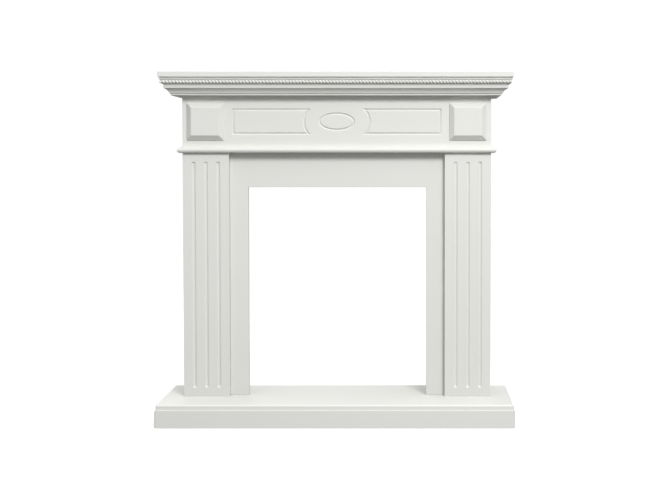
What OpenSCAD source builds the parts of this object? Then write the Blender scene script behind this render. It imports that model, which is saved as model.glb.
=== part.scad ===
// Fireplace mantelpiece: a freestanding surround of white painted board on its own plinth,
// with fluted pilasters, a routed frieze, corner blocks, a mitred crown with a rope and a shelf.
// Sizes are in millimetres. The origin is on the floor under the middle of the plinth.
// +X is to the right, +Y is towards the wall and +Z is up, so the front faces -Y.

/* [Overall] */
// Width of the plinth and of the shelf
width = 1000; // [960:10:1600]
// Height from the floor to the top of the shelf
height = 992; // [960:1:1300]
// Depth of the plinth, from its front to the wall
plinth_depth = 340; // [280:5:500]
// Depth of the body, from the pilasters' faces to the wall
body_depth = 195; // [150:5:240]
// Thickness of the boards that the body and the plinth are built of
board_t = 16; // [12:1:20]

/* [Plinth] */
// Height of the plinth, with its top board
plinth_h = 65; // [45:1:100]
// How far the top board's edge stands back from the rails
plinth_inset = 3; // [0.5:0.5:6]
// Radius of the top board's upper edge
plinth_round = 8; // [2:0.5:11]
// Radius of the plinth's upright front corners
plinth_corner = 5; // [2:0.5:8]

/* [Pilasters] */
// Width of each pilaster
pilaster_w = 132; // [110:1:150]
// Number of flutes in each pilaster
flute_count = 3; // [1:1:3]
// Distance from flute to flute
flute_pitch = 35; // [20:1:40]
// Width of each flute at the face
flute_w = 11; // [8:0.5:14]
// Depth of each flute
flute_depth = 4; // [2:0.5:5]
// Plain length above and below the flutes
flute_margin = 25; // [15:1:60]

/* [Fire panel] */
// Width of the opening for the fire
opening_w = 510; // [400:5:550]
// Height of the opening for the fire
opening_h = 600; // [400:5:650]
// How far the fire panel stands back from the pilasters' faces
panel_recess = 22; // [5:1:60]

/* [Necking] */
// Thickness of the necking board, whose edge is a full half round
necking_t = 16; // [10:1:24]
// How far the necking board stands out from the body
necking_out = 14.5; // [10:0.5:25]

/* [Frieze] */
// Height of the frieze, from the necking to the crown
frieze_h = 146; // [120:1:180]
// Height of the small fillet at the frieze's foot
fillet_h = 5; // [2:0.5:8]
// How far the fillet stands out
fillet_out = 3; // [1:0.5:6]
// Width and height of the corner blocks
block_size = 105; // [80:1:110]
// Thickness of the corner blocks
block_t = 16; // [12:1:20]
// Thickness left at a corner block's edge, under its bevel
block_edge = 3.5; // [1:0.5:8]
// Width of a corner block's bevel, seen from the front
block_bevel = 13; // [5:0.5:20]

/* [Grooves] */
// Width of the V grooves at the face
groove_w = 8; // [4:0.5:10]
// Depth of the V grooves
groove_depth = 3.5; // [1.5:0.5:6]
// Height of the two grooved panels, along the groove's middle
panel_h = 68; // [50:1:80]
// From a corner block to the grooved panel beside it
panel_gap = 26.5; // [12:0.5:40]
// How far a panel's inner end is hollowed, to follow the oval
panel_hollow = 12.5; // [5:0.5:20]
// From the oval's end to the nearest point of a panel
oval_gap = 45; // [25:1:60]
// Width of the grooved oval
oval_w = 97; // [80:1:120]
// Height of the grooved oval
oval_h = 46; // [40:1:54]

/* [Crown] */
// How far the crown's top fillet stands out from the frieze
crown_out = 57.5; // [50:0.5:65]
// Height of the quirk under the shelf
quirk_h = 1.5; // [1:0.5:3]
// Depth of the quirk
quirk_d = 3; // [1:0.5:5]
// Height of the crown's top fillet
top_fillet_h = 3.5; // [2:0.5:6]
// Step from the top fillet to the sloping bed of the rope
bed_step = 1.5; // [0.5:0.5:3]
// Height of the sloping bed
bed_h = 15; // [13:0.5:20]
// How far the bed slopes back
bed_run = 10; // [6:0.5:14]
// Radius of the half round rope
rope_r = 5; // [3:0.5:6]
// Height of the plain band under the bed
corona_h = 10; // [5:0.5:16]
// Radius of the cove under the band
cove_r = 15; // [8:0.5:20]
// Step from the cove back to the bead
bead_step = 2.5; // [0:0.5:5]
// Height of the half round bead at the crown's foot
bead_h = 5; // [4:0.5:10]
// Height of the small flats above and below the bead, which is that much more than half round
bead_lip = 0.5; // [0.5:0.5:2]
// Height of the crown's glued back at the frieze
crown_heel = 18; // [12:1:24]
// Width of the crown's flat top behind the quirk
crown_seat = 24; // [16:1:30]

/* [Shelf] */
// Thickness of the shelf
shelf_t = 16; // [12:1:30]
// How far the shelf stands out from the body
shelf_out = 60; // [60:1:75]
// Radius of the shelf's edges
shelf_arris = 1.5; // [0.5:0.5:4]

/* [Hidden] */
$fn = 64;

// Plan: the wall, the body's face and the body's side
wall_y = plinth_depth / 2;
face_y = wall_y - body_depth;
body_x = width / 2 - shelf_out;
pilaster_x = body_x - pilaster_w / 2;
reveal_x = body_x - pilaster_w;

// Heights, from the floor up
rail_h = plinth_h - board_t;
bead_r = bead_h / 2;
crown_h = quirk_h + top_fillet_h + bed_h + corona_h + cove_r + bead_h + 2 * bead_lip;
shelf_z = height - shelf_t;
crown_z = shelf_z - crown_h;
frieze_z = crown_z - frieze_h;
necking_z = frieze_z - necking_t;
frieze_mid_z = frieze_z + frieze_h / 2;

// Flutes are cut by a round nose whose radius follows from their width and depth
flute_r = (flute_w * flute_w / 4 + flute_depth * flute_depth) / (2 * flute_depth);

// Grooved panels: their outer line and the arc of their hollowed inner end
panel_outer_x = pilaster_x - block_size / 2 - panel_gap;
panel_waist_x = oval_w / 2 + oval_gap;
panel_corner_x = panel_waist_x - panel_hollow;
groove_over = groove_w / 3;
hollow_r = (panel_h * panel_h / 4 + panel_hollow * panel_hollow) / (2 * panel_hollow);
hollow_x = panel_waist_x - hollow_r;
hollow_a = asin((panel_h / 2 + groove_over) / hollow_r);
oval_steps = 48;

// Crown profile: how far each member stands out, and the height of its foot below the shelf
bed_out = crown_out - bed_step;
corona_out = bed_out - bed_run;
cove_out = corona_out - cove_r;
bead_out = cove_out - bead_step;
heel_out = bead_out - bead_r - bead_lip;
bed_top = -quirk_h - top_fillet_h;
corona_top = bed_top - bed_h;
cove_top = corona_top - corona_h;
bead_top = cove_top - cove_r;

// Every cutter starts this far outside what it cuts, and a groove's cutter only just outside
clear = 1;
groove_lift = 0.2;
white = [0.90, 0.90, 0.88];
shade = [0.84, 0.84, 0.82];

// ---- Helpers ----

// Puts a flat shape, drawn as [out, up], along X with its outside towards the front
module run_along_front(length) {
    rotate([90, 0, -90]) linear_extrude(length, center = true) children();
}

// Puts a flat shape, drawn as [out, up], along the right side from the wall to the front
module run_along_right(length) {
    translate([0, wall_y, 0]) rotate([90, 0, 0]) linear_extrude(length) children();
}

// Stands a shape drawn flat, as [across, up], against a face that looks to the front
module on_front(y) {
    translate([0, y, 0]) rotate([90, 0, 0]) children();
}

// Board from x1 to x2, y1 to y2 and z1 to z2
module board(x1, x2, y1, y2, z1, z2) {
    translate([x1, y1, z1]) cube([x2 - x1, y2 - y1, z2 - z1]);
}

// Plan of the stretch of a moulding that runs along the front, between its two mitres
module front_mitre() {
    reach = crown_out + clear;
    polygon([
        [-body_x, face_y], [-body_x - reach, face_y - reach],
        [body_x + reach, face_y - reach], [body_x, face_y]
    ]);
}

// Plan of the stretch of a moulding that runs along the right side, from its mitre to the wall
module right_mitre() {
    reach = crown_out + clear;
    polygon([
        [body_x, face_y], [body_x + reach, face_y - reach],
        [body_x + reach, wall_y], [body_x, wall_y]
    ]);
}

// The front stretch of a moulding whose profile is given under the shelf
module moulding_front() {
    intersection() {
        translate([0, face_y, shelf_z]) run_along_front(2 * (body_x + crown_out + clear)) children();
        translate([0, 0, crown_z - clear]) linear_extrude(crown_h + 2 * clear) front_mitre();
    }
}

// The right stretch of a moulding whose profile is given under the shelf
module moulding_right() {
    intersection() {
        translate([body_x, 0, shelf_z]) run_along_right(body_depth + crown_out + clear) children();
        translate([0, 0, crown_z - clear]) linear_extrude(crown_h + 2 * clear) right_mitre();
    }
}

// Flat outline of a board's end, with its two upper corners rounded
module round_topped(length, thick, r) {
    translate([-length / 2, 0]) square([length, thick - r]);
    translate([r - length / 2, 0]) square([length - 2 * r, thick]);
    for (x = [r - length / 2, length / 2 - r]) translate([x, thick - r]) circle(r);
}

// Flat outline with all four corners rounded
module rounded(length, thick, r) {
    translate([-length / 2, r]) square([length, thick - 2 * r]);
    translate([r - length / 2, 0]) square([length - 2 * r, thick]);
    for (x = [r - length / 2, length / 2 - r], y = [r, thick - r]) translate([x, y]) circle(r);
}

// Flat outline with a half round at both ends
module stadium(length, thick) {
    translate([thick / 2 - length / 2, 0]) square([length - thick, thick]);
    for (side = [-1, 1]) translate([side * (length - thick) / 2, thick / 2]) circle(thick / 2);
}

// ---- Plinth ----

// Plan of the plinth, w wide, with its front corners rounded; its back is at the wall
module plinth_plan(w, front_y) {
    r = plinth_corner;
    translate([-w / 2, front_y + r]) square([w, wall_y - front_y - r]);
    translate([r - w / 2, front_y]) square([w - 2 * r, 2 * r]);
    for (side = [-1, 1]) translate([side * (w / 2 - r), front_y + r]) circle(r);
}

// Top board of the plinth, rounded along its front and its two sides
module plinth_top() {
    w = width - 2 * plinth_inset;
    front_y = plinth_inset - wall_y;
    depth = wall_y - front_y;
    color(white) intersection() {
        translate([0, 0, rail_h]) linear_extrude(board_t) plinth_plan(w, front_y);
        translate([0, wall_y, rail_h]) rotate([90, 0, 0]) linear_extrude(depth)
            round_topped(w, board_t, plinth_round);
        translate([0, front_y + depth, rail_h]) run_along_front(w)
            round_topped(2 * depth, board_t, plinth_round);
    }
}

// Front rail of the plinth, with its upright corners rounded
module plinth_front_rail() {
    color(white) intersection() {
        linear_extrude(rail_h) plinth_plan(width, -wall_y);
        board(-width / 2, width / 2, -wall_y, board_t - wall_y, 0, rail_h);
    }
}

// Side rail of the plinth, between the front rail and the back rail
module plinth_side_rail(side) {
    x = side * (width - board_t) / 2;
    color(white)
        board(x - board_t / 2, x + board_t / 2, board_t - wall_y, wall_y - board_t, 0, rail_h);
}

// Back rail of the plinth, as wide as the plinth
module plinth_back_rail() {
    color(shade) board(-width / 2, width / 2, wall_y - board_t, wall_y, 0, rail_h);
}

// ---- Pilasters and cheeks ----

// Cutter for one flute: a round groove with round ends, centred on x = 0
module flute() {
    top_z = necking_z - flute_margin - flute_w / 2;
    foot_z = plinth_h + flute_margin + flute_w / 2;
    translate([0, face_y + flute_depth - flute_r, 0]) {
        translate([0, 0, foot_z]) cylinder(h = top_z - foot_z, r = flute_r);
        for (z = [foot_z, top_z]) translate([0, 0, z]) sphere(flute_r);
    }
}

// Fluted face board of one column
module pilaster(side) {
    x = side * pilaster_x;
    color(white) difference() {
        board(x - pilaster_w / 2, x + pilaster_w / 2, face_y, face_y + board_t, plinth_h, necking_z);
        for (i = [0 : flute_count - 1])
            translate([x + (i - (flute_count - 1) / 2) * flute_pitch, 0, 0]) flute();
    }
}

// Outer side board of one column, from behind the pilaster to the wall
module outer_cheek(side) {
    x = side * (body_x - board_t / 2);
    color(white)
        board(x - board_t / 2, x + board_t / 2, face_y + board_t, wall_y, plinth_h, necking_z);
}

// Inner side board of one column, which the fire panel is fixed between
module inner_cheek(side) {
    x = side * (reveal_x + board_t / 2);
    color(shade)
        board(x - board_t / 2, x + board_t / 2, face_y + board_t, wall_y, plinth_h, necking_z);
}

// ---- Fire panel ----

// Panel between the columns, with the opening that the fire goes in
module fire_panel() {
    front_y = face_y + panel_recess;
    color(white) difference() {
        board(-reveal_x, reveal_x, front_y, front_y + board_t, plinth_h, necking_z);
        board(-opening_w / 2, opening_w / 2, front_y - clear, front_y + board_t + clear,
            plinth_h - clear, plinth_h + opening_h);
    }
}

// ---- Necking ----

// Board over the columns and the panel, with a half round edge at the front and the sides
module necking() {
    w = 2 * (body_x + necking_out);
    depth = body_depth + necking_out;
    color(white) intersection() {
        translate([0, wall_y, necking_z]) rotate([90, 0, 0]) linear_extrude(depth)
            stadium(w, necking_t);
        translate([0, wall_y, necking_z]) run_along_front(w) stadium(2 * depth, necking_t);
        board(-w / 2, w / 2, wall_y - depth, wall_y, necking_z, frieze_z);
    }
}

// ---- Frieze ----

// Unit normal of the run from point a to point b, to its right
function normal(a, b) = let (u = (b - a) / norm(b - a)) [u[1], -u[0]];

// How a groove's edges move from corner i of a closed line, for each millimetre of half width
function mitre(line, i) =
    let (
        n = len(line),
        before = normal(line[(i + n - 1) % n], line[i]),
        after = normal(line[i], line[(i + 1) % n])
    )
    (before + after) / (1 + before * after);

// Middle line of the grooved oval
function oval_line() = [
    for (i = [0 : oval_steps - 1])
        let (a = 360 * i / oval_steps) [oval_w / 2 * cos(a), oval_h / 2 * sin(a)]
];

// Cross-section of a V groove, drawn with the face at zero and the cutter's top just outside it
module v_section() {
    half = groove_w / 2 * (groove_depth + groove_lift) / groove_depth;
    polygon([[0, -groove_depth], [half, groove_lift], [-half, groove_lift]]);
}

// Straight V groove from point a to point b on the face, run on a little past both
module v_line(a, b) {
    run = b - a;
    translate([a[0], a[1], 0]) rotate([0, 0, atan2(run[1], run[0])]) translate([-groove_over, 0, 0])
        rotate([90, 0, 90]) linear_extrude(norm(run) + 2 * groove_over) v_section();
}

// Grooves of the panel on the right of the oval: three lines, and the arc that hollows its end
module panel_groove() {
    top = panel_h / 2;
    v_line([panel_corner_x, top], [panel_outer_x, top]);
    v_line([panel_corner_x, -top], [panel_outer_x, -top]);
    v_line([panel_outer_x, -top], [panel_outer_x, top]);
    translate([hollow_x, 0, 0]) rotate([0, 0, -hollow_a])
        rotate_extrude(angle = 2 * hollow_a) translate([hollow_r, 0]) v_section();
}

// Groove of the oval, as a ring of mitred flats
module oval_groove() {
    line = oval_line();
    half = groove_w / 2 * (groove_depth + groove_lift) / groove_depth;
    polyhedron(
        points = [
            for (i = [0 : oval_steps - 1])
                for (edge = [[half, groove_lift], [0, -groove_depth], [-half, groove_lift]])
                    let (p = line[i] + edge[0] * mitre(line, i)) [p[0], p[1], edge[1]]
        ],
        faces = [
            for (i = [0 : oval_steps - 1])
                for (k = [0 : 2])
                    let (j = (i + 1) % oval_steps, m = (k + 1) % 3)
                        [3 * i + k, 3 * j + k, 3 * j + m, 3 * i + m]
        ]
    );
}

// Front board of the frieze, with the grooves and the fillet at its foot
module frieze_front() {
    color(white) difference() {
        union() {
            board(-body_x, body_x, face_y, face_y + board_t, frieze_z, shelf_z);
            board(-body_x - fillet_out, body_x + fillet_out, face_y - fillet_out, face_y + board_t,
                frieze_z, frieze_z + fillet_h);
        }
        translate([0, 0, frieze_mid_z]) on_front(face_y) {
            oval_groove();
            panel_groove();
            mirror([1, 0, 0]) panel_groove();
        }
    }
}

// Side board of the frieze, with the same fillet, drawn for the right side
module frieze_side() {
    color(white) union() {
        board(body_x - board_t, body_x, face_y + board_t, wall_y, frieze_z, shelf_z);
        board(body_x - board_t, body_x + fillet_out, face_y + board_t, wall_y,
            frieze_z, frieze_z + fillet_h);
    }
}

// Outline of a corner block's bevelled section, drawn as [across, out]
module block_section() {
    half = block_size / 2;
    polygon([
        [-half, 0], [half, 0], [half, block_edge], [half - block_bevel, block_t],
        [block_bevel - half, block_t], [-half, block_edge]
    ]);
}

// Raised square block with a bevel all round, over one pilaster
module corner_block(side) {
    color(white) translate([side * pilaster_x, 0, frieze_mid_z]) on_front(face_y) intersection() {
        rotate([90, 0, 0]) linear_extrude(block_size, center = true) block_section();
        rotate([90, 0, 90]) linear_extrude(block_size, center = true) block_section();
    }
}

// ---- Crown ----

// Crown profile, drawn as [out, up] from the frieze's face and the shelf's underside
module crown_profile() {
    difference() {
        polygon([
            [crown_seat, 0], [0, crown_heel - crown_h], [0, -crown_h], [heel_out, -crown_h],
            [heel_out, bead_top], [cove_out, bead_top], [corona_out, cove_top],
            [corona_out, corona_top], [bed_out, bed_top], [crown_out, bed_top],
            [crown_out, -quirk_h], [crown_out - quirk_d, -quirk_h], [crown_out - quirk_d, 0]
        ]);
        translate([corona_out, bead_top]) circle(cove_r);
    }
    translate([bead_out - bead_r, bead_lip + bead_r - crown_h]) circle(bead_r);
}

// Half round strip that the rope is carved on, seated on the sloping bed
module rope_profile() {
    translate([(bed_out + corona_out) / 2, (bed_top + corona_top) / 2])
        rotate(-atan(bed_run / bed_h)) intersection() {
            circle(rope_r);
            translate([0, -rope_r - clear]) square([rope_r + clear, 2 * (rope_r + clear)]);
        }
}

// Stretch of the crown along the front
module crown_front() {
    color(white) moulding_front() crown_profile();
}

// Stretch of the crown along the right side
module crown_right() {
    color(white) moulding_right() crown_profile();
}

// Stretch of the rope along the front
module rope_front() {
    color(shade) moulding_front() rope_profile();
}

// Stretch of the rope along the right side
module rope_right() {
    color(shade) moulding_right() rope_profile();
}

// ---- Shelf ----

// Mantel shelf, with slightly rounded edges at the front and the sides
module shelf() {
    depth = body_depth + shelf_out;
    color(white) intersection() {
        translate([0, wall_y, shelf_z]) rotate([90, 0, 0]) linear_extrude(depth)
            rounded(width, shelf_t, shelf_arris);
        translate([0, wall_y, shelf_z]) run_along_front(width) rounded(2 * depth, shelf_t, shelf_arris);
        board(-width / 2, width / 2, wall_y - depth, wall_y, shelf_z, height);
    }
}

// ---- Nodes ----

plinth_top();
plinth_front_rail();
plinth_side_rail(-1);  // plinth_left_rail
plinth_side_rail(1);  // plinth_right_rail
plinth_back_rail();
pilaster(-1);  // pilaster_left
pilaster(1);  // pilaster_right
outer_cheek(-1);  // outer_cheek_left
outer_cheek(1);  // outer_cheek_right
inner_cheek(-1);  // inner_cheek_left
inner_cheek(1);  // inner_cheek_right
fire_panel();
necking();
frieze_front();
mirror([1, 0, 0]) frieze_side();  // frieze_left
frieze_side();  // frieze_right
corner_block(-1);  // corner_block_left
corner_block(1);  // corner_block_right
crown_front();
mirror([1, 0, 0]) crown_right();  // crown_left
crown_right();
rope_front();
mirror([1, 0, 0]) rope_right();  // rope_left
rope_right();
shelf();
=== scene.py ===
# %% [markdown]
# # A painted mantelpiece
#
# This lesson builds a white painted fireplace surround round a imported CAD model. The real one is made
# of fibreboard: plain boards, two fluted pilasters, a grooved frieze, a mitred crown with a carved
# rope, and a shelf. The CAD model says where each piece is, so every piece here starts from its CAD
# node's box. What is added is what a machine model lacks: eased arrises, carved detail and paint.

# %% Load the frame
import math

import bmesh
import bpy
from mathutils import Matrix, Vector


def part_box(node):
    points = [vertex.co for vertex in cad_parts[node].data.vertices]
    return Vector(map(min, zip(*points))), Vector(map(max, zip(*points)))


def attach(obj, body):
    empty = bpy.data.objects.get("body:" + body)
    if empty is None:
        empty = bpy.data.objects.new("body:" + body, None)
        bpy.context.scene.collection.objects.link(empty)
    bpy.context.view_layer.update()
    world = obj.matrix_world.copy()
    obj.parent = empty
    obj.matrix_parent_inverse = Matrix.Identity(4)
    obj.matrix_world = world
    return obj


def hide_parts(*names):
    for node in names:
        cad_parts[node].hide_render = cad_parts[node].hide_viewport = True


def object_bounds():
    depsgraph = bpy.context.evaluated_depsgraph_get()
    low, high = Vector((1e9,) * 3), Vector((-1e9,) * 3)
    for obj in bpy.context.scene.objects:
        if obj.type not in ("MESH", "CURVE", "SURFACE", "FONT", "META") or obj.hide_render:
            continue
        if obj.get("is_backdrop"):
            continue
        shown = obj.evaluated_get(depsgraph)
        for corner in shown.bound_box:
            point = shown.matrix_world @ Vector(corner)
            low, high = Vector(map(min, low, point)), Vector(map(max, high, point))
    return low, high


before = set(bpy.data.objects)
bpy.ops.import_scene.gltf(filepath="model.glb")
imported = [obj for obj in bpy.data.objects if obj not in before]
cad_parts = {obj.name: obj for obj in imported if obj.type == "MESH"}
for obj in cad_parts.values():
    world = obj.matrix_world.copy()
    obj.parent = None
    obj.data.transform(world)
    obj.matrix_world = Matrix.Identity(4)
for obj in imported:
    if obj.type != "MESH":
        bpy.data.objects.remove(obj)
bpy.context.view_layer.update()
MM = 0.001

# %% [markdown]
# ## From shape to finished piece
#
# Every piece ends the same way. Its doubles are merged and its normals turned outwards, it is shaded
# smooth but for its real corners, and its arrises are eased. A painter sands each sharp edge before
# the first coat, because paint pulls thin over a sharp one, and that small round is what catches the
# light along every board. The Bevel modifier does it by angle, and Weighted Normal keeps the flats flat.

# %% Finish a piece
SHARP = math.radians(38)
EASED = 0.8 * MM
ARRIS_SEGMENTS = 3
WELD = 0.005 * MM
FACES_WALL = 0.9


def finish_piece(bm, name, paint, nodes, eased=EASED, hidden_paint=None, sharp=SHARP):
    """Makes the mesh an object that stands for its CAD nodes. Faces to the wall get hidden_paint."""
    bmesh.ops.remove_doubles(bm, verts=bm.verts, dist=WELD)
    bmesh.ops.recalc_face_normals(bm, faces=bm.faces)
    for face in bm.faces:
        face.smooth = True
        face.material_index = 1 if hidden_paint and face.normal.y > FACES_WALL else 0
    mesh = bpy.data.meshes.new(name)
    bm.to_mesh(mesh)
    open_edges = sum(1 for edge in bm.edges if len(edge.link_faces) != 2)
    bm.free()
    mesh.set_sharp_from_angle(angle=sharp)
    mesh.materials.append(paint)
    if hidden_paint:
        mesh.materials.append(hidden_paint)
    piece = bpy.data.objects.new("painted_" + name, mesh)
    bpy.context.scene.collection.objects.link(piece)
    if eased:
        ease = piece.modifiers.new("eased arrises", "BEVEL")
        ease.width = eased
        ease.segments = ARRIS_SEGMENTS
        ease.limit_method = "ANGLE"
        ease.angle_limit = SHARP
        ease.harden_normals = True
    flats = piece.modifiers.new("flat faces", "WEIGHTED_NORMAL")
    flats.keep_sharp = True
    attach(piece, "root")
    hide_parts(*nodes)
    print(f"{name}: {len(mesh.polygons)} faces, {open_edges} open edges")
    return piece


# %% [markdown]
# ## Paint
#
# The surround is medium density fibreboard, sprayed with white satin acrylic enamel. Spraying leaves
# a faint orange peel, a ripple a few millimetres across and some hundredths of a millimetre high, and
# the film's gloss drifts a little over the boards. The colour is a white with a trace of warm grey.
# An acrylic film has an IOR near 1.5, and satin means a roughness between 0.4 and 0.5.

# %% Colours and nodes
def linear(hex_colour):
    """sRGB hex to linear RGBA."""
    channels = [int(hex_colour[i : i + 2], 16) / 255 for i in (0, 2, 4)]
    return (*[c / 12.92 if c <= 0.04045 else ((c + 0.055) / 1.055) ** 2.4 for c in channels], 1)


def add_node(tree, kind, settings=None, links=None):
    """Adds a node; settings go to its own values or inputs, and links run from sockets to its inputs."""
    node = tree.nodes.new(kind)
    for key, value in (settings or {}).items():
        if isinstance(key, str) and hasattr(node, key):
            setattr(node, key, value)
        else:
            node.inputs[key].default_value = value
    for key, socket in (links or {}).items():
        tree.links.new(socket, node.inputs[key])
    return node


def per_metre(size_mm):
    """A noise's scale from the real size of its patches."""
    return 1000 / size_mm


# %% Sprayed board
PATCHES_PER_DRIFT = 8
FILM_IOR = 1.5


def sprayed_board(name, light, shade, gloss, peel_mm, peel_height_mm, drift_mm):
    """Paint on board: colour and gloss that drift, and a ripple on the film."""
    paint = bpy.data.materials.new(name)
    paint.use_nodes = True
    tree = paint.node_tree
    tree.nodes.clear()
    place = add_node(tree, "ShaderNodeTexCoord").outputs["Object"]
    drift = add_node(
        tree, "ShaderNodeTexNoise", {"Scale": per_metre(drift_mm), "Detail": 3.0}, {"Vector": place}
    )
    colour = add_node(tree, "ShaderNodeMix", {"data_type": "RGBA"}, {0: drift.outputs["Fac"]})
    colour.inputs[6].default_value = linear(shade)
    colour.inputs[7].default_value = linear(light)
    patches = add_node(
        tree,
        "ShaderNodeTexNoise",
        {"Scale": per_metre(drift_mm / PATCHES_PER_DRIFT), "Detail": 2.0},
        {"Vector": place},
    )
    sheen = add_node(
        tree,
        "ShaderNodeMapRange",
        {"To Min": gloss[0], "To Max": gloss[1]},
        {"Value": patches.outputs["Fac"]},
    )
    peel = add_node(
        tree, "ShaderNodeTexNoise", {"Scale": per_metre(peel_mm), "Detail": 2.0}, {"Vector": place}
    )
    ripple = add_node(
        tree,
        "ShaderNodeBump",
        {"Strength": 1.0, "Distance": peel_height_mm * MM},
        {"Height": peel.outputs["Fac"]},
    )
    film = add_node(
        tree,
        "ShaderNodeBsdfPrincipled",
        {"IOR": FILM_IOR},
        {
            "Base Color": colour.outputs[2],
            "Roughness": sheen.outputs["Result"],
            "Normal": ripple.outputs["Normal"],
        },
    )
    add_node(tree, "ShaderNodeOutputMaterial", None, {"Surface": film.outputs["BSDF"]})
    print(f"{name}: colour drifts over {drift_mm} mm, peel {peel_mm} mm across, roughness {gloss}")
    return paint


satin_enamel = sprayed_board(
    "satin_enamel",
    light="EAEAE6",
    shade="E6E6E1",
    gloss=(0.42, 0.52),
    peel_mm=3.5,
    peel_height_mm=0.05,
    drift_mm=300,
)

# %% [markdown]
# The sides that face the wall or the inside only have primer. It is dull, a little greyer and warmer,
# and the board's fibres, about 1 mm across once they have swelled, show through it.

# %% Primed board
primed_board = sprayed_board(
    "primed_board",
    light="E0DED6",
    shade="D3D0C6",
    gloss=(0.66, 0.78),
    peel_mm=1.2,
    peel_height_mm=0.06,
    drift_mm=60,
)

# %% [markdown]
# ## Boards
#
# Most of the surround is plain boards, cut square. Each is a cube stretched over its CAD box.


# %% A board
def cube_over(low, high):
    """A cube stretched from the lowest corner to the highest."""
    bm = bmesh.new()
    bmesh.ops.create_cube(bm, size=1)
    bmesh.ops.scale(bm, vec=high - low, verts=bm.verts)
    bmesh.ops.translate(bm, vec=(low + high) / 2, verts=bm.verts)
    return bm


def edges_where(bm, test):
    """The edges both of whose ends pass the test."""
    return [edge for edge in bm.edges if all(test(vert.co) for vert in edge.verts)]


def near(a, b):
    """True where two places are the same but for rounding."""
    return abs(a - b) < 0.01 * MM


PLAIN_BOARDS = ["plinth_left_rail", "plinth_right_rail", "outer_cheek_left", "outer_cheek_right"]
PRIMED_BOARDS = ["plinth_back_rail", "inner_cheek_left", "inner_cheek_right"]
for board in PLAIN_BOARDS:
    finish_piece(cube_over(*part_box(board)), board, satin_enamel, [board])
for board in PRIMED_BOARDS:
    finish_piece(cube_over(*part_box(board)), board, primed_board, [board])

# %% [markdown]
# ## Plinth
#
# The plinth's front rail has its upright corners rounded over with a router, and so has the top board,
# whose upper edge is rounded with a larger cutter. A bevel with many segments and a profile of 0.5 is
# that round. Their other arrises are tight, because the two boards meet along them.

# %% Round an edge
def round_over(bm, edges, radius, segments):
    """Rounds edges as a router's cutter does."""
    bmesh.ops.bevel(
        bm,
        geom=edges,
        offset=radius,
        offset_type="OFFSET",
        affect="EDGES",
        segments=segments,
        profile=0.5,
        material=-1,
        clamp_overlap=True,
    )


def front_uprights(bm, low, high):
    """The two upright edges at a board's front corners."""
    left = edges_where(bm, lambda co: near(co.y, low.y) and near(co.x, low.x))
    right = edges_where(bm, lambda co: near(co.y, low.y) and near(co.x, high.x))
    return left + right


# %% Front rail and top board
PLINTH_CORNER = 5 * MM
PLINTH_ROUND = 8 * MM
CORNER_SEGMENTS = 6
ROUND_SEGMENTS = 8
TIGHT = 0.25 * MM
low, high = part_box("plinth_front_rail")
rail = cube_over(low, high)
round_over(rail, front_uprights(rail, low, high), PLINTH_CORNER, CORNER_SEGMENTS)
finish_piece(rail, "plinth_front_rail", satin_enamel, ["plinth_front_rail"], TIGHT)

low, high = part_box("plinth_top")
top = cube_over(low, high)
round_over(top, front_uprights(top, low, high), PLINTH_CORNER, CORNER_SEGMENTS)
upper = edges_where(top, lambda co: near(co.z, high.z))
upper = [edge for edge in upper if not all(near(vert.co.y, high.y) for vert in edge.verts)]
round_over(top, upper, PLINTH_ROUND, ROUND_SEGMENTS)
plinth_board = finish_piece(
    top, "plinth_top", satin_enamel, ["plinth_top"], TIGHT
)

# %% [markdown]
# ## Necking
#
# The board over the columns has a full half round on its front and its ends, called a bullnose. It is
# two rounds, one over each edge, that all but meet in the middle of the board's thickness.

# %% Necking board
BULLNOSE_SHARE = 0.498
BULLNOSE_SEGMENTS = 9
low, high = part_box("necking")
necking = cube_over(low, high)
sides = [
    edge
    for edge in necking.edges
    if near(edge.verts[0].co.z, edge.verts[1].co.z)
    and not all(near(vert.co.y, high.y) for vert in edge.verts)
]
round_over(necking, sides, (high.z - low.z) * BULLNOSE_SHARE, BULLNOSE_SEGMENTS)
finish_piece(necking, "necking", satin_enamel, ["necking"])

# %% [markdown]
# ## Faces with routed work
#
# The pilasters' flutes and the frieze's grooves are cut into a flat face with a router. The face is
# drawn as its outline with the cuts' outlines inside it, and filled between them. A flute's outline
# then gets a face of its own, which is inset and sunk in steps down the cutter's section. Last, the
# outline is carried back to the board's thickness.


# %% Draw on a front face
def outline_edges(verts):
    """The edges that run between these vertices, each once and always in the same order."""
    chosen = set(verts)
    found = [edge for vert in verts for edge in vert.link_edges if edge.other_vert(vert) in chosen]
    return list(dict.fromkeys(found))


def front_rectangle(bm, low_x, high_x, low_z, high_z, y):
    """An upright rectangle of edges that faces the front."""
    centre = Vector(((low_x + high_x) / 2, y, (low_z + high_z) / 2))
    grid = bmesh.ops.create_grid(
        bm,
        x_segments=1,
        y_segments=1,
        size=0.5,
        matrix=Matrix.Translation(centre) @ Matrix.Rotation(math.radians(90), 4, "X"),
    )
    verts = grid["verts"]
    size = Vector((high_x - low_x, 1, high_z - low_z))
    bmesh.ops.scale(bm, vec=size, space=Matrix.Translation(-centre), verts=verts)
    bmesh.ops.delete(bm, geom=list(verts[0].link_faces), context="FACES_ONLY")
    return outline_edges(verts)


def front_circle(bm, centre, radius, segments):
    """An upright ring of vertices that faces the front, with no vertex level with its centre."""
    turn = Matrix.Rotation(math.pi / segments, 4, "Z")
    upright = Matrix.Translation(centre) @ Matrix.Rotation(math.radians(90), 4, "X") @ turn
    return bmesh.ops.create_circle(bm, radius=radius, segments=segments, matrix=upright)["verts"]


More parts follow.
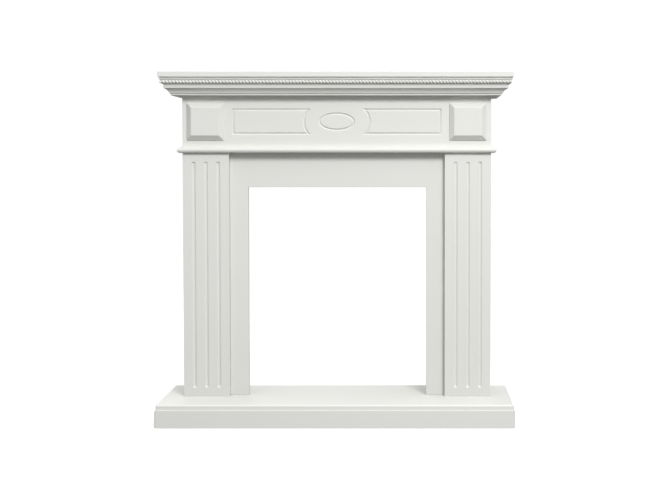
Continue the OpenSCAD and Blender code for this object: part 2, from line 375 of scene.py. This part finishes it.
def fill_round(bm, rim, cuts):
    """Fills the face between its rim and the cuts, then gives each cut a face of its own."""
    edges = rim + [edge for cut in cuts for edge in cut]
    bmesh.ops.triangle_fill(bm, edges=edges, use_beauty=True, normal=(0, -1, 0))
    made = []
    for cut in cuts:
        faces = bmesh.ops.edgeloop_fill(bm, edges=cut)["faces"]
        made += faces
    for face in bm.faces:
        if face.normal.y > 0:
            face.normal_flip()
    return made


def sink(bm, face, steps):
    """Insets a face again and again, each time by (thickness, depth)."""
    for thickness, depth in steps:
        bmesh.ops.inset_individual(
            bm, faces=[face], thickness=thickness, depth=depth, use_even_offset=True
        )


def thicken_back(bm, rim, thickness):
    """Carries the rim of a face straight back and closes it."""
    sides = bmesh.ops.extrude_edge_only(bm, edges=rim)["geom"]
    moved = [item for item in sides if isinstance(item, bmesh.types.BMVert)]
    bmesh.ops.translate(bm, vec=(0, thickness, 0), verts=moved)
    bmesh.ops.edgeloop_fill(bm, edges=outline_edges(moved))


# %% [markdown]
# ## Pilasters
#
# Each pilaster has three flutes with round ends, cut with a round nose. A flute's outline is a circle
# whose halves are pulled apart. Its section is an arc, so each inset sinks by what the round nose
# sinks over the same distance. The insets stop just short of the middle line.

# %% Fluted pilasters
FLUTE_PITCH = 35 * MM
FLUTE_WIDTH = 11 * MM
FLUTE_DEPTH = 4 * MM
FLUTE_MARGIN = 25 * MM
FLUTE_STEPS = 7
FLUTE_RING = 28
FLUTE_SWEEP = math.radians(90) * 0.97
nose = (FLUTE_WIDTH**2 / 4 + FLUTE_DEPTH**2) / (2 * FLUTE_DEPTH)


def flute_sunk(across):
    """How deep the nose is sunk at this distance from the flute's middle line."""
    return math.sqrt(nose**2 - across**2) - (nose - FLUTE_DEPTH)


def flute_steps():
    """Insets that follow the round nose down, close together near the lip."""
    half = FLUTE_WIDTH / 2
    stops = [half * math.cos(FLUTE_SWEEP * i / FLUTE_STEPS) for i in range(FLUTE_STEPS + 1)]
    return [(a - b, flute_sunk(a) - flute_sunk(b)) for a, b in zip(stops, stops[1:])]


def pilaster(name):
    """A fluted face board."""
    low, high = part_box(name)
    bm = bmesh.new()
    rim = front_rectangle(bm, low.x, high.x, low.z, high.z, low.y)
    foot = low.z + FLUTE_MARGIN + FLUTE_WIDTH / 2
    head = high.z - FLUTE_MARGIN - FLUTE_WIDTH / 2
    cuts = []
    for place in (-1, 0, 1):
        centre = Vector(((low.x + high.x) / 2 + place * FLUTE_PITCH, low.y, (foot + head) / 2))
        ring = front_circle(bm, centre, FLUTE_WIDTH / 2, FLUTE_RING)
        for vert in ring:
            vert.co.z += math.copysign((head - foot) / 2, vert.co.z - centre.z)
        cuts.append(outline_edges(ring))
    for face in fill_round(bm, rim, cuts):
        sink(bm, face, flute_steps())
    thicken_back(bm, rim, high.y - low.y)
    return finish_piece(bm, name, satin_enamel, [name], hidden_paint=primed_board)


pilaster("pilaster_left")
pilaster("pilaster_right")

# %% [markdown]
# ## Fire panel
#
# One board between the columns, with the opening sawn out of its foot: an upside-down U. Its corners
# are joined into a flat face, which is drawn out to the board's thickness.


# %% Fire panel
def prism(points, along):
    """Joins a few corners into a flat face and draws it out along a vector."""
    bm = bmesh.new()
    face = bm.faces.new([bm.verts.new(point) for point in points])
    grown = bmesh.ops.extrude_face_region(bm, geom=[face])["geom"]
    moved = [item for item in grown if isinstance(item, bmesh.types.BMVert)]
    bmesh.ops.translate(bm, vec=along, verts=moved)
    return bm


OPENING_HALF = 255 * MM
OPENING_HEIGHT = 600 * MM
SAWN_ARRIS = 1 * MM
low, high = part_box("fire_panel")
lintel = low.z + OPENING_HEIGHT
right_half = [(OPENING_HALF, lintel), (OPENING_HALF, low.z), (high.x, low.z), (high.x, high.z)]
left_half = [(-x, z) for x, z in reversed(right_half)]
corners = [(x, low.y, z) for x, z in right_half + left_half]
panel = prism(corners, (0, high.y - low.y, 0))
finish_piece(
    panel, "fire_panel", satin_enamel, ["fire_panel"], SAWN_ARRIS, primed_board
)

# %% [markdown]
# ## Frieze
#
# The frieze's front board has a small oval in its middle and a long panel at each side, whose inner
# end is hollowed to follow the oval. All three are V grooves with lips that the paint has softened.
# A groove is drawn as lines side by side, each at its own distance from the middle line and at its own
# depth, and each is bridged to the next. The oval's lines are stretched circles, and a panel's are two
# square corners joined by an arc that is spun from a vertex.

# %% Groove section
GROOVE_WIDTH = 8 * MM
GROOVE_DEPTH = 3.5 * MM
OVAL_HALF = Vector((48.5, 0, 23)) * MM
PANEL_HALF_HEIGHT = 34 * MM
PANEL_OUTER = 295 * MM
PANEL_WAIST = 93.5 * MM
PANEL_HOLLOW = 12.5 * MM
OVAL_SEGMENTS = 72
HOLLOW_SEGMENTS = 20
GROOVE_SIDE = [(1.0, 0.0), (0.86, 0.05), (0.74, 0.2), (0.14, 0.9), (0.0, 1.0)]
groove = [(out * GROOVE_WIDTH / 2, deep * GROOVE_DEPTH) for out, deep in GROOVE_SIDE]
groove += [(-out, deep) for out, deep in reversed(groove[:-1])]
print("groove section in mm:", [(round(out / MM, 2), round(deep / MM, 2)) for out, deep in groove])


# %% Groove lines
def oval_line(bm, middle, out, deep):
    """The oval's line, moved out from its middle line and sunk."""
    ring = front_circle(bm, Vector(), 1, OVAL_SEGMENTS)
    for vert in ring:
        across, up = vert.co.x, vert.co.z
        normal = Vector((across / OVAL_HALF.x, 0, up / OVAL_HALF.z)).normalized()
        vert.co = Vector((across * OVAL_HALF.x, deep, up * OVAL_HALF.z)) + normal * out + middle
    return ring


def panel_line(bm, middle, side, out, deep):
    """The same for the panel on one side: two corners, and an arc spun from a vertex."""
    radius = (PANEL_HALF_HEIGHT**2 + PANEL_HOLLOW**2) / (2 * PANEL_HOLLOW)
    pivot = middle + Vector((side * (PANEL_WAIST - radius), deep, 0))
    height = PANEL_HALF_HEIGHT + out
    angle = math.asin(height / (radius - out))
    start = bm.verts.new(pivot + Vector((side * math.cos(angle) * (radius - out), 0, height)))
    before = set(bm.verts)
    turn = side * 2 * angle
    bmesh.ops.spin(bm, geom=[start], cent=pivot, axis=(0, 1, 0), angle=turn, steps=HOLLOW_SEGMENTS)
    arc = [start] + [vert for vert in bm.verts if vert not in before]
    outer = side * (PANEL_OUTER + out)
    lower = bm.verts.new(middle + Vector((outer, deep, -height)))
    upper = bm.verts.new(middle + Vector((outer, deep, height)))
    for a, b in ((arc[-1], lower), (lower, upper), (upper, arc[0])):
        bm.edges.new((a, b))
    return arc + [lower, upper]


def cut_groove(bm, draw_line):
    """Draws the groove's lines side by side, bridges each to the next, and returns both lips."""
    lines = [outline_edges(draw_line(out, deep)) for out, deep in groove]
    for outer, inner in zip(lines, lines[1:]):
        bmesh.ops.bridge_loops(bm, edges=outer + inner)
    return lines[0], lines[-1]


# %% Frieze front
FILLET_HEIGHT = 5 * MM
FILLET_OUT = 3 * MM
low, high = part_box("frieze_front")
block_low, block_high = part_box("corner_block_left")
face_y = low.y + FILLET_OUT
board_x = high.x - FILLET_OUT
foot_z = low.z + FILLET_HEIGHT
middle = Vector((0, face_y, (block_low.z + block_high.z) / 2))
frieze = bmesh.new()
rim = front_rectangle(frieze, -board_x, board_x, foot_z, high.z, face_y)
lips = [
    cut_groove(frieze, lambda out, deep: oval_line(frieze, middle, out, deep)),
    cut_groove(frieze, lambda out, deep: panel_line(frieze, middle, -1, out, deep)),
    cut_groove(frieze, lambda out, deep: panel_line(frieze, middle, 1, out, deep)),
]
for outer, inner in lips:
    bmesh.ops.triangle_fill(frieze, edges=inner, use_beauty=True, normal=(0, -1, 0))
field = rim + [edge for outer, inner in lips for edge in outer]
bmesh.ops.triangle_fill(frieze, edges=field, use_beauty=True, normal=(0, -1, 0))
thicken_back(frieze, rim, high.y - face_y)
print(f"frieze: {len(lips)} grooves in a board {2 * board_x / MM:.0f} mm wide")

# %% [markdown]
# The fillet at the foot is part of the same board. The board's underside is drawn out into a ledge
# and then down. Behind, where there's no ledge, the flat face that this leaves is filled anew.

# %% Fillet at the frieze's foot
under = next(face for face in frieze.faces if all(near(vert.co.z, foot_z) for vert in face.verts))
for drop, out in ((0, FILLET_OUT), (FILLET_HEIGHT, 0)):
    grown = bmesh.ops.extrude_face_region(frieze, geom=[under])["geom"]
    bmesh.ops.delete(frieze, geom=[under], context="FACES_ONLY")
    under = next(item for item in grown if isinstance(item, bmesh.types.BMFace))
    for vert in under.verts:
        vert.co.z -= drop
        vert.co.x += math.copysign(out, vert.co.x)
        vert.co.y -= out if near(vert.co.y, face_y) else 0
behind = [
    face
    for face in frieze.faces
    if all(near(vert.co.y, high.y) and vert.co.z < foot_z + WELD for vert in face.verts)
]
bmesh.ops.delete(frieze, geom=behind, context="FACES_ONLY")
loose = [edge for edge in frieze.edges if not edge.link_faces]
bmesh.ops.delete(frieze, geom=loose, context="EDGES")
bmesh.ops.holes_fill(frieze, edges=[edge for edge in frieze.edges if edge.is_boundary], sides=0)
ends = [
    edge
    for side in (-1, 1)
    for edge in edges_where(frieze, lambda co: near(co.x, side * board_x) and near(co.y, face_y))
]
round_over(frieze, ends, EASED, ARRIS_SEGMENTS)
finish_piece(frieze, "frieze_front", satin_enamel, ["frieze_front"], 0, primed_board)

# %% [markdown]
# The frieze's side boards carry the same fillet, so their section is an L with a short foot. It is
# drawn across the board and drawn out from front to back.

# %% Frieze sides
SIDE_ARRIS = 0.6 * MM
for name, side in (("frieze_left", -1), ("frieze_right", 1)):
    low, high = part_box(name)
    inner, outer = (low.x, high.x) if side > 0 else (high.x, low.x)
    board_face = outer - side * FILLET_OUT
    section = [
        (inner, low.y, low.z),
        (outer, low.y, low.z),
        (outer, low.y, low.z + FILLET_HEIGHT),
        (board_face, low.y, low.z + FILLET_HEIGHT),
        (board_face, low.y, high.z),
        (inner, low.y, high.z),
    ]
    board = prism(section, (0, high.y - low.y, 0))
    finish_piece(board, name, satin_enamel, [name], SIDE_ARRIS)

# %% [markdown]
# ## Corner blocks
#
# A square block sits over each pilaster, sawn from board with a broad bevel all round and glued on.
# It is a low box whose front face is inset and drawn out at once, which makes the bevel in one step.

# %% Corner blocks
BLOCK_EDGE = 3.5 * MM
BLOCK_BEVEL = 13 * MM
BLOCK_ARRIS = 0.9 * MM
for name in ("corner_block_left", "corner_block_right"):
    low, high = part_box(name)
    block = cube_over(Vector((low.x, high.y - BLOCK_EDGE, low.z)), high)
    front = min(block.faces, key=lambda face: face.calc_center_median().y)
    rise = high.y - BLOCK_EDGE - low.y
    bmesh.ops.inset_individual(
        block, faces=[front], thickness=BLOCK_BEVEL, depth=rise, use_even_offset=True
    )
    finish_piece(block, name, satin_enamel, [name], BLOCK_ARRIS)

# %% [markdown]
# ## Crown
#
# The crown is one moulding in three lengths, mitred at the front corners. Its section is drawn as
# [out from the frieze, up from the shelf's underside]: a heel against the frieze, a bead between two
# lips, a cove, a flat band, the sloping bed of the rope, and a fillet with a quirk under the shelf.
# Its back is sprung: it leans away from the corner, so that there's a hollow behind it.

# %% Crown section
SHELF_LOW, SHELF_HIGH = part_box("shelf")
under_shelf = SHELF_LOW.z
body_side = board_x
BEAD_R = 2.5 * MM
COVE_R = 24 * MM
COVE_RISE = 15 * MM
HEEL_OUT = 25.5 * MM
BEAD_OUT = 26 * MM
COVE_FOOT = 31 * MM
CROWN_FOOT = -51 * MM
COVE_LOW = -45 * MM
BED_LOW = (46 * MM, -20 * MM)
BED_HIGH = (56 * MM, -5 * MM)
CROWN_OUT = 57.5 * MM
QUIRK = (52.5 * MM, -2 * MM)
CROWN_SEAT = 24 * MM
CROWN_HEEL = -33 * MM
BEAD_SEGMENTS = 12
COVE_SEGMENTS = 14
COVE_MIDDLE = math.radians(45)
print("crown in mm:", round(-CROWN_FOOT / MM), "deep and", round(CROWN_OUT / MM, 1), "out")


def crown_section(bm, place):
    """Draws the section's outline in one plane and fills it. place turns [out, up] to a point."""
    tilt = math.acos((HEEL_OUT - BEAD_OUT) / BEAD_R)
    bead_z = CROWN_FOOT + (COVE_LOW - CROWN_FOOT) / 2
    outline = [(CROWN_SEAT, 0), (0, CROWN_HEEL), (0, CROWN_FOOT), (HEEL_OUT, CROWN_FOOT)]
    for i in range(BEAD_SEGMENTS + 1):
        angle = -tilt + 2 * tilt * i / BEAD_SEGMENTS
        outline.append((BEAD_OUT + BEAD_R * math.cos(angle), bead_z + BEAD_R * math.sin(angle)))
    outline += [(HEEL_OUT, COVE_LOW), (COVE_FOOT, COVE_LOW)]
    half = math.asin(COVE_RISE / math.sqrt(2) / COVE_R)
    start = COVE_MIDDLE - half
    for i in range(1, COVE_SEGMENTS + 1):
        angle = start + 2 * half * i / COVE_SEGMENTS
        across = COVE_FOOT + COVE_R * (math.cos(start) - math.cos(angle))
        above = COVE_LOW + COVE_R * (math.sin(angle) - math.sin(start))
        outline.append((across, above))
    outline += [BED_LOW, BED_HIGH, (CROWN_OUT, BED_HIGH[1]), (CROWN_OUT, QUIRK[1])]
    outline += [QUIRK, (QUIRK[0], 0)]
    return bm.faces.new([bm.verts.new(place(out, up)) for out, up in outline])


# %% [markdown]
# Each length is that section, set up at one end and drawn out to the other. The front length starts
# with the section turned into its mitre and ends at the mirrored place. A side length starts at the
# same mitre and runs back to the wall, where it is cut square.

# %% Crown lengths
def draw_out(bm, face, shift):
    """Draws a face out, each of its vertices going where shift sends it."""
    grown = bmesh.ops.extrude_face_region(bm, geom=[face])["geom"]
    for item in grown:
        if isinstance(item, bmesh.types.BMVert):
            item.co = shift(item.co)


wall_y = SHELF_HIGH.y
crown = bmesh.new()
section = crown_section(
    crown, lambda out, up: Vector((-body_side - out, face_y - out, under_shelf + up))
)
draw_out(crown, section, lambda co: Vector((-co.x, co.y, co.z)))
finish_piece(crown, "crown_front", satin_enamel, ["crown_front"], TIGHT)
for name, side in (("crown_left", -1), ("crown_right", 1)):
    crown = bmesh.new()
    section = crown_section(
        crown, lambda out, up: Vector((side * (body_side + out), face_y - out, under_shelf + up))
    )
    draw_out(crown, section, lambda co: Vector((co.x, wall_y, co.z)))
    finish_piece(crown, name, satin_enamel, [name], TIGHT)

# %% [markdown]
# ## Rope
#
# The rope is a half round strip, carved or pressed with strands that wind round it, and glued on the
# crown's sloping bed. A grid is rolled over the half round: one way runs along the strip and the other
# over it. Each strand is a round back between two narrow valleys, and its place along the strip shifts
# with the angle over it, which is what makes the twist. The grid's step along the strip is the strands'
# shift from one of its rows to the next, so that the valleys run along its diagonals and stay clean.

# %% Rope section
ROPE_R = 5 * MM
STRAND_PITCH = 9.4 * MM
STRAND_LAY = 1.8 * MM
STRAND_DEPTH = 4.2 * MM
VALLEY_POWER = 2.6
ROPE_SHARP = math.radians(75)
ROPE_OVER = 14
ROPE_STEP = STRAND_LAY * math.pi / ROPE_OVER
bed = Vector((BED_HIGH[0] - BED_LOW[0], BED_HIGH[1] - BED_LOW[1])).normalized()
bed_out = Vector((bed.y, -bed.x))
bed_middle = Vector((BED_HIGH[0] + BED_LOW[0], BED_HIGH[1] + BED_LOW[1])) / 2
print("grid step along the rope in mm:", round(ROPE_STEP / MM, 3))


def strand_height(along, angle):
    """The strand's height over the strip's middle at this place."""
    phase = (along + STRAND_LAY * angle) / STRAND_PITCH % 1
    return ROPE_R - STRAND_DEPTH * (0.5 + 0.5 * math.cos(math.tau * phase)) ** VALLEY_POWER


def rope(name, length, path):
    """Rolls a grid over the half round. path sends [share from -1 to 1, out, up] to a place and more."""
    bm = bmesh.new()
    steps = round(length / ROPE_STEP)
    bmesh.ops.create_grid(bm, x_segments=steps, y_segments=ROPE_OVER, size=1)
    feet = [edge for side in (-1, 1) for edge in edges_where(bm, lambda co: near(co.y, side))]
    bmesh.ops.bridge_loops(bm, edges=feet)
    rims = [edge for edge in bm.edges if edge.is_boundary]
    bmesh.ops.holes_fill(bm, edges=rims, sides=0)
    for vert in bm.verts:
        share, angle = vert.co.x, vert.co.y * math.radians(90)
        arc = bed_out * math.cos(angle) + bed * math.sin(angle)
        along = path(share, *(bed_middle + arc * ROPE_R))[1]
        vert.co = path(share, *(bed_middle + arc * strand_height(along, angle)))[0]
    return finish_piece(bm, name, satin_enamel, [name], 0, sharp=ROPE_SHARP)


# %% [markdown]
# The rope is mitred with the crown, so its lengths run as the crown's do. A place on the strip is given
# as [out, up] in the section and a share of the length, which the section's own projection stretches:
# that makes the mitre. The twist is counted in real millimetres, so the strands are all alike.

# %% Rope lengths
def along_front(share, out, up):
    """A place on the front length, then how far along the strip it is."""
    x = share * (body_side + out)
    return Vector((x, face_y - out, under_shelf + up)), x


def along_side(side):
    """Makes the same for a side length, which runs from the wall to the mitre."""

    def path(share, out, up):
        front = face_y - out
        y = wall_y + (front - wall_y) * (share + 1) / 2
        return Vector((side * (body_side + out), y, under_shelf + up)), side * y

    return path


rope("rope_front", 2 * (body_side + bed_middle.x), along_front)
rope("rope_left", wall_y - face_y + bed_middle.x, along_side(-1))
rope("rope_right", wall_y - face_y + bed_middle.x, along_side(1))

# %% [markdown]
# ## Shelf
#
# The shelf is a plain board. It is what hands and dusters touch, so its arrises are eased more than
# the others.

# %% Shelf
SHELF_ARRIS = 1.5 * MM
shelf = cube_over(SHELF_LOW, SHELF_HIGH)
finish_piece(shelf, "shelf", satin_enamel, ["shelf"], SHELF_ARRIS)

# %% [markdown]
# ## Floor and surround
#
# The studio is a pale floor that runs out to a lit white cloth all round. Both are there to be looked
# at and send no light on to the piece, or the undersides of its mouldings would lose their shade. The
# plinth's top board sends none up either, because next to that dark floor it would light the columns'
# feet more than the rest of them.

# %% Floor
FLOOR_HALF = 40
FLOOR_DROP = 0.3 * MM
FLOOR_GLOW = 0.35
bpy.context.scene.view_settings.view_transform = "Standard"
ground = bmesh.new()
bmesh.ops.create_grid(ground, x_segments=1, y_segments=1, size=FLOOR_HALF)
bmesh.ops.translate(ground, vec=(0, 0, -FLOOR_DROP), verts=ground.verts)
floor_mesh = bpy.data.meshes.new("floor")
ground.to_mesh(floor_mesh)
ground.free()
floor = bpy.data.objects.new("floor", floor_mesh)
bpy.context.scene.collection.objects.link(floor)
floor.visible_diffuse = False
floor.visible_glossy = False
plinth_board.visible_diffuse = False
matt_white = bpy.data.materials.new("matt_white_floor")
matt_white.use_nodes = True
sheet = matt_white.node_tree.nodes["Principled BSDF"]
sheet.inputs["Base Color"].default_value = linear("F2F2F0")
sheet.inputs["Roughness"].default_value = 0.9
sheet.inputs["Emission Color"].default_value = linear("FFFFFF")
sheet.inputs["Emission Strength"].default_value = FLOOR_GLOW
floor_mesh.materials.append(matt_white)
floor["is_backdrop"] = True
print("floor half side in m:", FLOOR_HALF)

# %% Surround
SURROUND_R = 30
CLOTH_GLOW = 1.02
cloth_mesh = bpy.data.meshes.new("surround")
shell = bmesh.new()
bmesh.ops.create_uvsphere(shell, u_segments=48, v_segments=24, radius=SURROUND_R)
bmesh.ops.reverse_faces(shell, faces=shell.faces)
shell.to_mesh(cloth_mesh)
shell.free()
surround = bpy.data.objects.new("surround", cloth_mesh)
bpy.context.scene.collection.objects.link(surround)
surround.visible_diffuse = False
surround.visible_glossy = False
surround.visible_shadow = False
lit_cloth = bpy.data.materials.new("lit_cloth")
lit_cloth.use_nodes = True
cloth = lit_cloth.node_tree
cloth.nodes.clear()
glow = add_node(cloth, "ShaderNodeEmission", {"Color": linear("FFFFFF"), "Strength": CLOTH_GLOW})
add_node(cloth, "ShaderNodeOutputMaterial", None, {"Surface": glow.outputs["Emission"]})
cloth_mesh.materials.append(lit_cloth)
surround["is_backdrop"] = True
print("surround radius in m:", SURROUND_R)

# %% [markdown]
# ## Room light
#
# What reaches the piece from all sides comes from the world. It is brightest overhead, where a studio
# has its large soft boxes, falls off towards the horizon and is dark below it. Two ramps up the world's
# height are added together, one for each half.

# %% World
ZENITH = 1.0
HORIZON = 0.42
GROUND = 0.2
GROUND_ENDS = -0.15
HORIZON_STARTS = 0.05
world = bpy.data.worlds.new("studio")
bpy.context.scene.world = world
world.use_nodes = True
tree = world.node_tree
tree.nodes.clear()
direction = add_node(tree, "ShaderNodeTexCoord").outputs["Generated"]
split = add_node(tree, "ShaderNodeSeparateXYZ", None, {0: direction})
lower = add_node(
    tree,
    "ShaderNodeMapRange",
    {"From Min": GROUND_ENDS, "From Max": HORIZON_STARTS, "To Min": GROUND, "To Max": HORIZON},
    {"Value": split.outputs["Z"]},
)
upper = add_node(
    tree,
    "ShaderNodeMapRange",
    {"From Min": HORIZON_STARTS, "From Max": 1.0, "To Min": 0.0, "To Max": ZENITH - HORIZON},
    {"Value": split.outputs["Z"]},
)
rise = add_node(
    tree,
    "ShaderNodeMath",
    {"operation": "ADD"},
    {0: lower.outputs["Result"], 1: upper.outputs["Result"]},
)
dome = add_node(
    tree,
    "ShaderNodeBackground",
    {"Color": linear("FFFFFF")},
    {"Strength": rise.outputs["Value"]},
)
add_node(tree, "ShaderNodeOutputWorld", None, {"Surface": dome.outputs["Background"]})
print("world's strength overhead, at the horizon and below:", ZENITH, HORIZON, GROUND)

# %% [markdown]
# ## Lamps
#
# A soft key lamp stands high in front, a little to the right. It gives the mouldings their shadows and
# makes the right side a little lighter than the left. A much weaker lamp behind keeps the open back
# from going black.


# %% Lamps
def soft_lamp(name, aim, way, distance, size, watts):
    """A square soft lamp that stands off from a point in one direction and looks back at it."""
    light = bpy.data.lights.new(name, "AREA")
    light.shape = "SQUARE"
    light.size = size
    light.energy = watts
    stand = bpy.data.objects.new(name, light)
    stand.location = aim + way.normalized() * distance
    stand.rotation_mode = "QUATERNION"
    stand.rotation_quaternion = way.to_track_quat("Z", "Y")
    bpy.context.scene.collection.objects.link(stand)
    print(f"{name}: {watts} W, {distance} m off, {size} m across")


soft_lamp(
    "key", aim=Vector((0, 0, 0.55)), way=Vector((0.29, -0.8, 0.54)), distance=4.5, size=1.2, watts=126
)
soft_lamp(
    "fill_behind",
    aim=Vector((0, 0, 0.5)),
    way=Vector((-0.25, 0.8, 0.45)),
    distance=3.4,
    size=1.6,
    watts=10,
)

# %% [markdown]
# ## Camera
#
# The camera stands four metres off, a little to the right and above the middle, and looks square at
# the front with a slight tilt down, through a long lens. The lens is shifted to place the piece in the
# picture without turning the camera further, so its uprights stay all but upright.

# %% Camera
TILT_DOWN = 2.2
lens = bpy.data.cameras.new("camera")
lens.sensor_width = 36
lens.lens = 75.4
lens.shift_x = -0.1143
lens.shift_y = -0.0601
camera = bpy.data.objects.new("camera", lens)
camera.location = (0.2116, -4.025, 0.7545)
camera.rotation_euler = (math.radians(90 - TILT_DOWN), 0, 0)
bpy.context.scene.collection.objects.link(camera)
bpy.context.scene.camera = camera
print("camera at", tuple(round(place, 3) for place in camera.location), "tilted down", TILT_DOWN)

# %% Size
low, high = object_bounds()
print("visual box in mm:", [round(side / MM, 1) for side in high - low])
